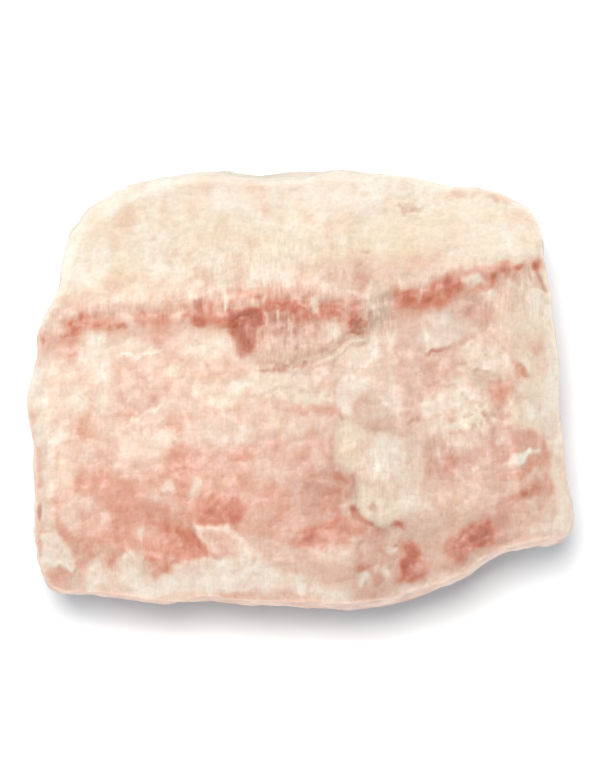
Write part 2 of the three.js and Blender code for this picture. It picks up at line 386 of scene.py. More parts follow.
# The marks, laid from the first to the last. Each row is a tint and its marks. A blot's numbers are its
# strength, its place, its two half widths and, where they are needed, its turn and its softness.
fields = [
    ("lilac", (0.6, 29, 12, 9, 5)), ("cream", (0.6, 37, 7, 8, 6)),
    ("peach", (0.5, -31, 0, 22, 10, 0, 0.8), (0.5, -4, 1, 14, 7), (0.7, 45, 9, 5, 9)),
    ("salmon", 0.55 * patch(clear_crystal, 1.8)),
    ("blush", (0.6, 1, -35, 11, 3.6), (0.6, 28, -31, 6, 6), (0.6, -18, -8, 7, 3)),
    ("beige", (0.5, 33, -23, 9, 4.4), (0.5, 43, 18, 5, 4)), ("mauve", (0.5, 31, -13, 9, 5.4)),
    ("ivory", patch(cream_band, 1.8), (0.75, 47, 6, 4, 14, 4),
     0.5 * streak([(-51, 4), (-51.8, -10), (-51, -26)], 1.8)),
    ("flesh", (0.75, -3, 18.4, 22, 4.4), (0.7, -38, 15.6, 14, 3.2), (0.7, -7, 20.4, 16, 3, 0, 0.9),
     (0.5, 11, 23, 12, 3.4, 0, 0.9), (0.5, -38, -14, 10, 3.4), (0.6, 21.6, 1, 4, 8), (1, 42, -18, 7, 8),
     patch(niche, 0.6)),
    ("cream", (0.5, 16, 6.6, 7, 5), (0.6, -45, -1, 6, 7), (0.5, -19, 9, 6, 2.6)),
    ("peach", (0.5, 46, 9, 2.6, 4)), ("fawn", 0.7 * patch(niche, 0.7)), ("brown", (0.35, 41, -17, 6, 7)),
    # The ivory streak down the right edge is partly bruising, partly a painted highlight along the edge
    ("ivory", 0.75 * streak([(50, 22), (50.6, 8), (51.4, -6), (52.4, -18), (53, -28)], 1.6),
     (0.6, -6, 1.6, 8, 2.6)),
    ("blush", (0.35, 24, 24.6, 22, 3)),
]

back_band = [
    ("butter", 0.6 * flecks(patch(cream_band, 2), 3.2, 61)),
    ("peach", 0.3 * flecks(patch(cream_band, 2), 2, 62), (0.45, 24.6, 28, 3.6, 3, 0, 0.9)),
    ("white", 0.7 * flecks(patch(cream_band, 2), 3, 63)),
    ("umber", 0.15 * flecks(blot(-28, 31, 18, 10, 0, 0.9), 1, 72)),
    ("khaki", 0.2 * flecks(patch(cream_band, 2), 1.4, 71)),
    ("beige", (0.5, -25, 20, 5.2, 2.2), (0.5, -16, 22, 4, 2)),
    ("blush", (0.45, -9, 39.6, 10, 3, 0, 0.9), (0.5, 6, 40, 5, 2.6, 0, 0.9)),
    ("butter", (0.7, 21, 31, 9, 3.6, 10, 0.9), (0.8, -41.6, 31.2, 5.6, 5), (0.6, -18, 33, 9, 4.5, 10),
     (0.6, -4, 27, 6, 4)),
    ("peach", (0.35, -24, 36.4, 6, 3), (0.25, -36, 31, 4.4, 3.6), (0.45, -12, 29, 4, 4.4),
     (0.45, 8, 35, 4.6, 3.2), (0.5, 33, 30, 5, 3), (0.8, 1.2, 33.8, 1.6, 1.2, -40),
     (0.6, 29.4, 38.6, 1.8, 1), (0.5, 46, 31.6, 2.6, 3)),
    ("ivory", (0.8, 39.6, 30, 4, 3.4)),
    ("white", (0.5, -44.8, 24.6, 2.8, 5.2), (0.8, -31.6, 31.8, 1.6, 1.6), (0.8, -26.4, 31.2, 1, 1.6),
     (0.6, -39, 27, 2.2, 1.8), (0.7, -1.6, 33.6, 1.6, 1), (0.8, 8, 29.8, 1, 1.4), (0.6, 3, 39.2, 3.6, 2.4),
     (0.8, 35, 34, 2.2, 1.6), (0.8, 8, 38.4, 4, 2.6)),
    ("blush", (0.35, 3, 24.6, 6, 4), 0.8 * flecks(blot(-26.6, 28, 3.4, 1.6, -20), 1.4, 74),
     (0.5, -20, 39.6, 8, 2.4)),
    ("flesh", (0.6, -36.8, 22.2, 2.4, 1.6), (0.6, -6.8, 35.4, 1, 2), (0.6, 5.4, 31, 1.2, 2.6),
     0.7 * streak([(32, 39.4), (37, 39.6), (41.6, 37.8)], 1.2), (0.5, -40, 18.4, 6, 1.6)),
    ("peach", (0.8, -34.8, 34.4, 2, 2.4), (0.7, -27, 35.2, 1.4, 2.6), (0.6, -36.6, 27.6, 1.6, 2),
     (0.9, -8.4, 40.2, 2.4, 1), (0.8, 43.6, 34.6, 2.2, 2)),
    ("khaki", 0.3 * streak([(10.6, 29), (11.6, 33), (14, 36.6)], 1.4)),
    ("butter", (0.8, -34, 24.6, 4, 2.6), (0.6, -26, 33, 3, 3), (1, 19.6, 29, 7.4, 3.6),
     (0.7, 38.2, 29.6, 2.4, 2.8), (0.9, 45.6, 30, 2, 2.6)),
    ("white", (0.5, 16.4, 28.6, 1.4, 1), (0.7, -16, 38, 5, 2.4)),
    ("beige", (0.45, 20, 36, 5.2, 2), (0.6, 23.6, 25, 4.8, 2.4)),
    ("flesh", (0.7, 10, 24.4, 8, 2.6), (0.5, 26, 25.2, 3.6, 2)),
    ("fawn", (1.3, 7, 22.3, 3, 1.2), (1.3, 11.8, 22.4, 1.8, 3.2)),
    ("peach", (0.6, 28.4, 26.2, 3, 2), (0.5, 44, 33.6, 2.4, 2)),
    ("khaki", 0.5 * flecks(blot(-34.6, 27.4, 3, 2.4), 1.2, 75), (0.5, 12, 23, 1.6, 2.8)),
    ("brown", (0.5, 6.6, 22.3, 2.4, 0.8)),
    ("umber", (0.2, -21, 34, 0.8, 0.6), 0.4 * flecks(blot(22.4, 35.8, 4.6, 1.8), 1, 73),
     0.5 * flecks(blot(7, 22.2, 3.4, 1.2, 0, 0.8), 1.2, 84),
     0.6 * flecks(streak([(10.6, 18.6), (11.8, 22.4), (13.6, 26)], 1.3, 0.8), 1.3, 85)),
    ("butter", (0.9, 24, 32.6, 5, 1.8), (0.5, 6, 27, 3, 2)), ("beige", (0.6, 3.6, 22.4, 3, 2)),
]

seam_marks = [
    ("rose", (0.5, -48.6, 13.6, 2.4, 2.4), (0.4, -38, 16.4, 8, 1.6)),
    ("khaki", (0.7, 12, 10, 2, 0.7, 15), (0.3, 44, 21.4, 1.2, 2)),
    ("salmon", 0.85 * streak([(-22, 16.6), (-13, 16.4), (-5, 17.6), (3, 17.2), (10, 15.8)], 2.4, 0.9),
     0.5 * streak([(-52, 9), (-47, 11), (-42, 13), (-36, 13.4)], 2.2, 0.9), (0.8, -47, 7.8, 3.4, 2)),
    ("rust", 1.1 * streak([(-13.4, 14.6), (-10, 15.6), (-6.4, 16.4), (-3, 16.6), (0.4, 15.8)], 0.9),
     (1, -4, 16, 2.8, 1.5), (0.9, 1, 15.6, 2, 1), (1, 5.4, 15.6, 2.4, 1.3)),
    ("white", 0.8 * streak([(-15.2, 19.2), (-15, 15.6)], 0.5), 0.4 * streak([(-18.2, 19.6), (-18, 17)], 0.3),
     0.8 * streak([(2.6, 15.6), (3.4, 17.6)], 0.6), (0.6, -7, 17.8, 0.4, 0.6), (0.6, -0.4, 17.4, 0.4, 0.6),
     0.5 * streak([(-5.4, 20), (-5.2, 18)], 0.3)),
    ("smoke", 1.2 * patch([(12.2, 19.4), (15.6, 20.6), (19, 19.6), (18.6, 15.6), (16.8, 10.8), (14, 11),
      (12.8, 13), (13.2, 16)], 0.7)),
    ("coral", 0.85 * streak([(-51, 9), (-48, 10.6), (-46, 12), (-44, 13.6)], 1.2),
     (0.7, -18.4, 15.4, 1.6, 1.2), (0.9, 8.6, 14.9, 1.6, 1)),
    ("flesh", 0.7 * streak([(-16.8, 19), (-16.8, 15.4)], 0.6)), ("rust", (0.8, -46, 11.8, 1.4, 1.1, 40)),
    ("ember", (0.6, -45.4, 11.2, 0.7, 0.5), (0.5, 5, 15, 1.2, 0.5), (0.9, 43.4, 24.2, 1.4, 0.7),
     (0.8, 47.8, 24, 1, 1)),
    ("maroon", 0.6 * streak([(10.6, 17.6), (10.2, 14)], 0.8), (1, 40.4, 23.4, 1.2, 0.9),
     (0.6, 45, 23.4, 0.8, 1.4)),
    ("smoke", (1, 15.4, 18, 3, 3)),
    ("frost", (0.9, 37.4, 18, 1.6, 1.3), 0.6 * streak([(45.2, 23.6), (46.6, 19.6), (49, 15.6)], 1.1, 0.9),
     0.5 * streak([(44.4, 22.6), (44.2, 18.4)], 0.5)),
    ("umber", 0.5 * streak([(13.4, 15.4), (14, 12.4)], 0.5), (0.8, 16.2, 10.7, 0.7, 0.35),
     (0.5, 41, 22.8, 0.5, 1), 0.7 * streak([(48.6, 22.4), (49.4, 19.4)], 0.5),
     0.5 * streak([(46, 24), (46.4, 21)], 0.4)),
    ("coral", 0.6 * flecks(streak([(-50, 11), (-42, 13.4), (-24, 14.6)], 2.6, 0.9), 1.3, 76),
     0.8 * streak([(20.6, 17.2), (25, 18.2), (30.6, 20.4)], 2.2, 0.8)),
    ("rust", 1.2 * patch([(20.4, 18.2), (21.6, 19.4), (23.8, 19.8), (24.2, 17), (22, 16), (20.2, 16)], 1),
     patch([(23.6, 20.4), (26.8, 21), (29, 19.8), (29, 16.8), (26, 15.4), (23.4, 16)], 1.3),
     1.2 * patch([(27.6, 21.2), (30, 22.8), (31.4, 21.4), (32, 20.2), (30, 18.8), (27.8, 19)], 0.9)),
    ("white", 0.4 * streak([(13.4, 17.4), (16.6, 14)], 0.4), (0.3, 17, 17.6, 1.4, 1)),
    ("khaki", 0.6 * streak([(12.4, 21), (13, 17)], 0.8)),
    ("blush", 0.5 * flecks(streak([(-50, 13), (-42, 15), (-24, 16)], 2.6, 0.9), 1.6, 77)),
    ("maroon", (0.8, -36, 11.8, 1.3, 0.6),
     1.4 * patch([(-21.6, 17.6), (-20, 17.2), (-18.8, 12.2), (-21.2, 12.2)], 0.4)),
    ("umber", (0.4, 15.8, 13.6, 0.8, 1),
     0.25 * flecks(streak([(19, 17.4), (25, 18), (33, 20.8)], 2, 0.8), 1.1, 87)),
    ("salmon", (0.7, -39, 10.6, 1.2, 0.7),
     0.5 * flecks(streak([(19, 18), (25, 19), (33, 21.4)], 2.6, 0.8), 1.4, 88)),
    ("frost", (0.9, 35, 21.6, 2, 1.2), (0.6, 42, 19.8, 2, 1.8)),
    ("ember", (1.2, -20.4, 14.2, 0.9, 1.7), (0.4, 21.6, 17.6, 1.8, 0.7, 15), (0.5, 25.4, 18, 1, 1.2),
     (0.3, 30.6, 20.6, 1.6, 0.6)),
    ("white", 0.5 * streak([(23.8, 20), (23.8, 17)], 0.3)), ("umber", (0.7, -20.4, 12.8, 0.8, 0.6)),
    ("coral", 0.7 * streak([(-43, 12.8), (-40.6, 13), (-37.6, 14)], 0.6), (0.75, -29, 14.2, 4.4, 1.3),
     0.9 * streak([(-19.6, 14), (-16, 14), (-12.8, 14.4)], 0.8)),
    ("salmon", (0.6, -28.4, 11, 2.4, 2.2), (0.6, 27.4, 15.6, 3.4, 1.4)),
    ("maroon", (0.6, -41.6, 12.7, 0.9, 0.5), (0.9, 38.4, 22, 1.5, 1.8)),
    ("coral", (0.6, 36, 19.6, 2, 0.7, 20), 0.5 * streak([(33, 22.6), (37, 24), (41, 24.6)], 0.6)),
    ("blush", (0.6, -24.6, 15, 1.2, 1.6)),
    ("ember", (0.85, -22.6, 14.6, 1.2, 0.8), (0.5, 38.8, 22.6, 0.8, 0.8)), ("lilac", (0.6, -32.6, 12, 2, 1)),
    ("beige", (0.6, -39.8, 12.2, 0.4, 0.6)), ("frost", (0.6, 33.4, 21.4, 1, 0.8)),
    ("umber", (0.6, -16, 12.7, 1.6, 0.6)), ("mauve", (0.5, 40.4, 21, 1, 1.6), (1, 35.4, 14.8, 3, 3)),
    ("brown", (0.5, -17.6, 13, 2.4, 0.7), 0.5 * streak([(42.6, 23.4), (42.4, 21.4)], 0.5),
     (0.7, 35.8, 14.6, 2.4, 2.4)),
    ("mauve", (0.6, 33.4, 18, 2, 1.6)),
]

# In the niche, the brown, umber, maroon and ember on its upper and left side are partly stain, partly
# painted shadow under the overhanging seam
niche_marks = [
    ("mauve", patch([(-9, 15.2), (0, 15), (0, 12), (-2, 9), (-8.6, 9)], 0.8)),
    ("peach", 0.5 * streak([(-6, 4.8), (2, 5.4), (8.6, 8.4)], 0.7)), ("fawn", (0.6, 4.4, 9.6, 4, 3)),
    ("brown", 1.3 * patch([(-9, 15.4), (-0.4, 15.2), (-0.2, 12), (-2, 9.8), (-8, 9.6)], 0.9),
     (0.9, 8.2, 8.6, 0.9, 1.3, -50)),
    ("beige", (0.7, -3.6, 7, 4.4, 2)),
    ("umber", 0.5 * patch([(-9, 14.6), (-0.8, 14.4), (-0.6, 12), (-2, 10.2), (-8, 10)], 0.9),
     0.3 * flecks(blot(-4.4, 12.4, 4.6, 3.2), 1, 78), 0.6 * streak([(-3.4, 13.6), (-3.2, 9)], 0.35),
     (0.7, -7.4, 3.8, 0.9, 0.4)),
    ("flesh", (0.6, 4, 13.6, 4.6, 1.2),
     patch([(-13.6, 12), (-8.4, 12), (-7.8, 9), (-8, 6.4), (-10.4, 6.6), (-12.4, 9)], 0.9)),
    ("lilac", (0.4, 3, 11, 2.2, 2.4)), ("coral", (0.7, 1, 14.4, 2.4, 0.8), (0.5, 6, 14.2, 3, 0.7)),
    ("brown", (0.3, 2, 10.4, 2.6, 2)), ("beige", (0.6, 2, 7.4, 3.4, 2)), ("frost", (0.8, 6, 12, 1.4, 2)),
    ("peach", (0.7, 4, 5.9, 2.6, 0.7, 10)),
    ("maroon", 1.2 * patch([(-14, 14.4), (-10, 15.6), (-7.4, 15.4), (-7, 13), (-8.8, 11.2), (-9.4, 9),
      (-9.4, 6.4), (-11.4, 6.8), (-13.8, 9.2), (-14.2, 11.4)], 0.6),
     0.7 * flecks(streak([(-8, 3.8), (-4.6, 3.9), (0, 4.4), (4, 5)], 0.7), 1.3, 86)),
    ("ember", 1.3 * patch([(-13.8, 14.4), (-10, 15.8), (-8, 15.4), (-7.8, 13), (-10, 11.8), (-13.2, 11.6)],
      0.5), 1.3 * patch([(9.2, 14), (10.8, 14.4), (13.2, 13.7), (11.8, 12.6), (12.6, 11), (10.4, 10.8),
      (9.4, 12)], 0.3)),
    ("umber", (0.7, -11.6, 13, 1.8, 1.3), 0.3 * streak([(-12.2, 9.6), (-9.6, 6.6)], 0.8),
     0.5 * streak([(-1.2, 13), (-1.2, 8.4)], 0.35), (1.3, 11.4, 13.2, 1.5, 0.8), (1.3, 11.2, 11.7, 1.4, 0.8),
     (0.9, -4.6, 4, 1.5, 0.7), (0.7, 1.4, 4.6, 0.9, 0.4), (0.5, -1.4, 4.4, 0.8, 0.35)),
    ("white", 0.9 * streak([(-7, 14.8), (-6.4, 10.4)], 0.3), 0.8 * streak([(-4.6, 15), (-4.2, 11)], 0.3),
     0.9 * streak([(-2.3, 13.4), (-2.3, 9.8)], 0.3)),
]

left_marks = [
    ("apricot", (0.8, -26, -7.4, 4, 2.6), (0.5, -18, 0, 3.6, 3), (0.35, -30, 0, 5, 3),
     (1.2, -24.4, -6, 2.4, 2), (0.9, -46.6, -11.4, 1.6, 1.2)),
    ("brown", (0.4, -38.6, -14.2, 1.8, 1.4)),
    ("frost", 0.8 * patch([(-43.6, 11.6), (-41.4, 11.4), (-39.6, 10), (-38.4, 6.4), (-38, 2), (-39.6, 1),
      (-41.6, 3.6), (-44, 4.6), (-44.4, 8.6)], 0.9), (0.5, -18.6, 8, 3, 2), (0.9, -49.8, -8.8, 2, 2.2),
     (0.6, -52, -5, 1.4, 5), (0.5, -36.4, -15.4, 1.4, 0.6)),
    ("cream", (0.6, -48.8, 4, 2.6, 2), (0.6, -34, 8, 4.6, 2.2), (0.5, -47, -17, 1.4, 5),
     0.8 * patch([(-22.4, -20.6), (-20.2, -17), (-19.4, -18), (-20.8, -21.4)], 0.5)),
    ("peach", (0.6, -46, 1.4, 3.6, 1.6), (0.8, -16, 3.6, 5, 3.6), (0.6, -47.8, -5, 1.8, 2.4)),
    ("ivory", (0.7, -43.8, -2, 2.4, 2.2), (0.5, -39.6, -1.6, 1.2, 4)),
    ("apricot", (0.4, -43, 0, 3, 3), (1, -43, -8.2, 2.4, 2.4)),
    ("salmon", 0.4 * streak([(-18.6, 5), (-18.4, 0.6)], 0.6), (0.5, -44, -9.6, 1.2, 1),
      0.75 * patch([(-42, -18.6), (-38, -17), (-33, -19), (-27, -22), (-24, -26), (-28, -28.6), (-34, -29),
      (-38, -27.6), (-39, -23)], 1.4), patch([(-37.6, -29), (-33.4, -28.6), (-32.6, -31), (-34.8, -32.4),
      (-36.4, -33.6), (-37.6, -37.4), (-38.8, -35), (-38.6, -31)], 1)),
    ("coral", (0.8, -44.8, -20, 0.8, 1.4), (0.35, -37.4, -19.4, 3, 1.6), (0.3, -34.6, -25.4, 3, 3),
      1.15 * patch([(-30.6, -30), (-27.6, -27.6), (-24, -26.6), (-21.8, -28), (-19.6, -30.6), (-17.6, -33.4),
      (-20.4, -33.2), (-22.4, -34.2), (-25.6, -34.6), (-25.8, -36.4), (-28, -37.4), (-30.4, -37),
      (-30.8, -33)], 1.2), (0.5, -35.4, -30.4, 1.8, 1.2),
     1.3 * patch([(-21, -21.4), (-17, -20.8), (-12.6, -21.4), (-12, -26.8), (-20.8, -27.2)], 0.5)),
    ("rust", (0.35, -25, -30, 5, 2.4, -20), 0.8 * streak([(-20.4, -30.2), (-19, -32), (-17.4, -33.2)], 0.7),
     (0.4, -14.2, -25.2, 2, 1.7), (0.4, -18.6, -25, 1.6, 1.8)),
    ("blush", (0.6, -50.6, -17, 1.6, 8), 0.8 * patch(window_flake, 0.6)),
    ("lilac", (0.5, -42.6, -14, 1.6, 2), (0.5, -20, -8, 4, 3.4), (0.5, -29.8, -21.6, 1.8, 1.2),
     (0.4, -26.6, -22.4, 2, 1.2), (0.6, -43.6, -23.4, 3, 2)),
    ("frost", (0.5, -32.6, 9.2, 2, 1.2), 0.6 * streak([(-50, -11), (-50.2, -22)], 0.9),
     (0.6, -45.4, -26.2, 1.6, 3), (0.6, -38.6, -25.8, 1.2, 1.2), (0.5, -32, -28.8, 0.9, 1)),
    ("salmon", 0.4 * streak([(-52.4, -12), (-52.2, -20)], 0.5),
     0.5 * streak([(-47.8, -26), (-46, -30)], 0.6), (0.5, -48.6, -23.4, 2.4, 1), patch([(-46, -29.6),
      (-42, -29.4), (-39.8, -31), (-40.4, -33.8), (-42.4, -35.6), (-45, -36.2), (-46, -33)], 1.2)),
    ("umber", (0.4, -36.2, -16.7, 1.1, 0.5), (1, -52, -25.4, 0.4, 1.3)),
    ("flesh", (0.4, -26.6, -33.6, 1.4, 0.6), (0.5, -45, -32, 1.2, 2), (0.8, -14.6, -30.6, 4.4, 2.6, -25)),
    ("bruise", 0.9 * patch(corner_flake, 0.6)),
    ("rose", (0.5, -25.6, 6.6, 1.4, 1.4), (0.4, -21, -12, 3.4, 1.6),
     0.25 * streak([(-50.4, -34.6), (-48, -34), (-45.8, -34.8)], 0.3),
     0.6 * patch([(-50.8, -36), (-46.8, -36.6), (-46.2, -39.6), (-49.6, -40)], 0.8),
     (0.4, -17, -29.8, 2.4, 1.2)),
    ("butter", (0.9, -25.4, 4, 1.4, 1.2)),
    ("white", 0.7 * streak([(-36.4, 6), (-33, 6.2), (-30.4, 7.2), (-28.4, 7.8)], 0.3),
     0.3 * streak([(-25.4, -28.4), (-24.6, -31.4)], 0.25), (0.5, -16.6, -23.4, 0.4, 0.5),
     (0.4, -18, -22.6, 0.4, 0.4),
     0.8 * streak([(-51, -35.4), (-48.6, -35), (-45.4, -36.2), (-45, -34)], 0.35),
     0.35 * streak([(-21.4, -27.6), (-18.6, -28.2), (-15.4, -27.4), (-13, -29.2), (-10.6, -30.6)], 0.4),
     0.35 * streak([(-19.6, -29.6), (-16.8, -32.4)], 0.4)),
    # The khaki streak is painted shadow under the broken edge just above it
    ("khaki", 0.3 * streak([(-36.4, 5.4), (-33, 5.4), (-29.6, 6.4)], 0.5), (0.7, -27.2, 4, 0.8, 0.6)),
    ("fawn", (0.7, -44.8, -38.4, 1.6, 2.4)),
    ("flesh", 0.7 * patch([(-37.4, 2), (-34, 4.4), (-28, 4), (-26, 0.6), (-27.6, -2.6), (-30.6, -4.6),
      (-34, -6.6), (-37, -6), (-37.4, -2)], 1.2)),
    ("apricot", (1, -35, -6.2, 1.8, 1.9)),
    ("frost", (0.4, -34.6, 0.4, 1.2, 2.4), (0.5, -11, -32.6, 1.4, 1.8)),
    ("brown", 0.6 * streak([(-32.4, 2.4), (-31.8, -1)], 0.7), (0.5, -28.2, -1, 2, 1.6, 40),
     (0.5, -36, -2, 1.2, 1)),
    ("white", 0.6 * streak([(-37, -9.4), (-33, -6.8), (-28, -4.2), (-25.6, -1.4), (-25, 1)], 0.4)),
    ("cream", 0.45 * patch([(-37, -10), (-33, -7.2), (-28, -6.4), (-25.4, -9), (-24.6, -13), (-28.6, -13),
      (-33, -12.4), (-36, -12)], 1), (0.5, -37.6, -8.6, 2, 1.2),
     0.5 * streak([(-49.6, -24.4), (-49, -30)], 1.2)),
    ("lilac", (0.4, -30, -10.6, 4, 2.4)),
    ("salmon", streak([(-24.8, -12.6), (-23.6, -18)], 1.2), (0.6, -26, -14, 1.6, 2.4)),
    ("rose", (0.3, -30, -8.4, 2.4, 0.8)),
    ("cream", 0.8 * patch([(-27.6, -19.8), (-26, -18), (-24.6, -18.4), (-24.6, -20), (-27, -20.4)], 0.5)),
]

front_marks = [
    ("cream", (0.4, -49, 7.4, 2.4, 1.4)),
    ("blush", 0.85 * patch([(-25.6, -37.2), (-25.4, -34.9), (-18.4, -33.3), (-13, -34), (-9, -34),
      (-14, -37), (-20, -37.4)], 0.6)),
    ("bruise", 0.9 * patch([(-43.2, -41.6), (-42.8, -37), (-41, -35), (-39.8, -33.8), (-38.8, -36.6),
      (-38, -38.6), (-37.4, -41.6)], 1.2), 0.9 * patch([(-37, -41.4), (-36.4, -36), (-35, -33.4),
      (-33.2, -32.3), (-31.6, -33.4), (-31, -36), (-30.4, -38), (-30, -41.6)], 0.9), 0.9 * patch([(-31, -43),
      (-30, -38), (-26.6, -38), (-24, -37.4), (-19, -36), (-14, -35), (-8, -34.8), (-3, -37.4), (4, -39.6),
      (12, -41), (10, -44), (-8, -42), (-16, -41.4), (-24, -43)], 1.6)),
    ("lilac", (0.3, -20, -34.6, 4, 1)), ("white", (0.7, -19, -38.6, 6, 2), (0.4, -8, -38, 6, 2)),
    ("salmon", (0.6, -10, -42.2, 8, 1.2)), ("blush", (0.6, 8, -42.8, 8, 1.4)),
    ("rose", 0.5 * streak([(20, -41.4), (34, -36.8), (44, -32.4), (54, -29.6)], 2.6)),
    ("frost", (0.6, -34, -36.4, 2.4, 2.6), (0.6, -40.4, -38.6, 2, 2.2), (0.7, -9, -35.4, 3, 1.4),
     0.6 * streak([(24, -40), (36, -34.6), (44, -32.6), (54, -29)], 1.4), (0.9, 21.2, -40.6, 1.8, 1.1)),
    ("peach", (0.4, -24, -42, 8, 1.2)), ("white", (0.5, -33, -39.6, 7, 1.8), (0.6, -1, -39.6, 6, 1.8)),
]

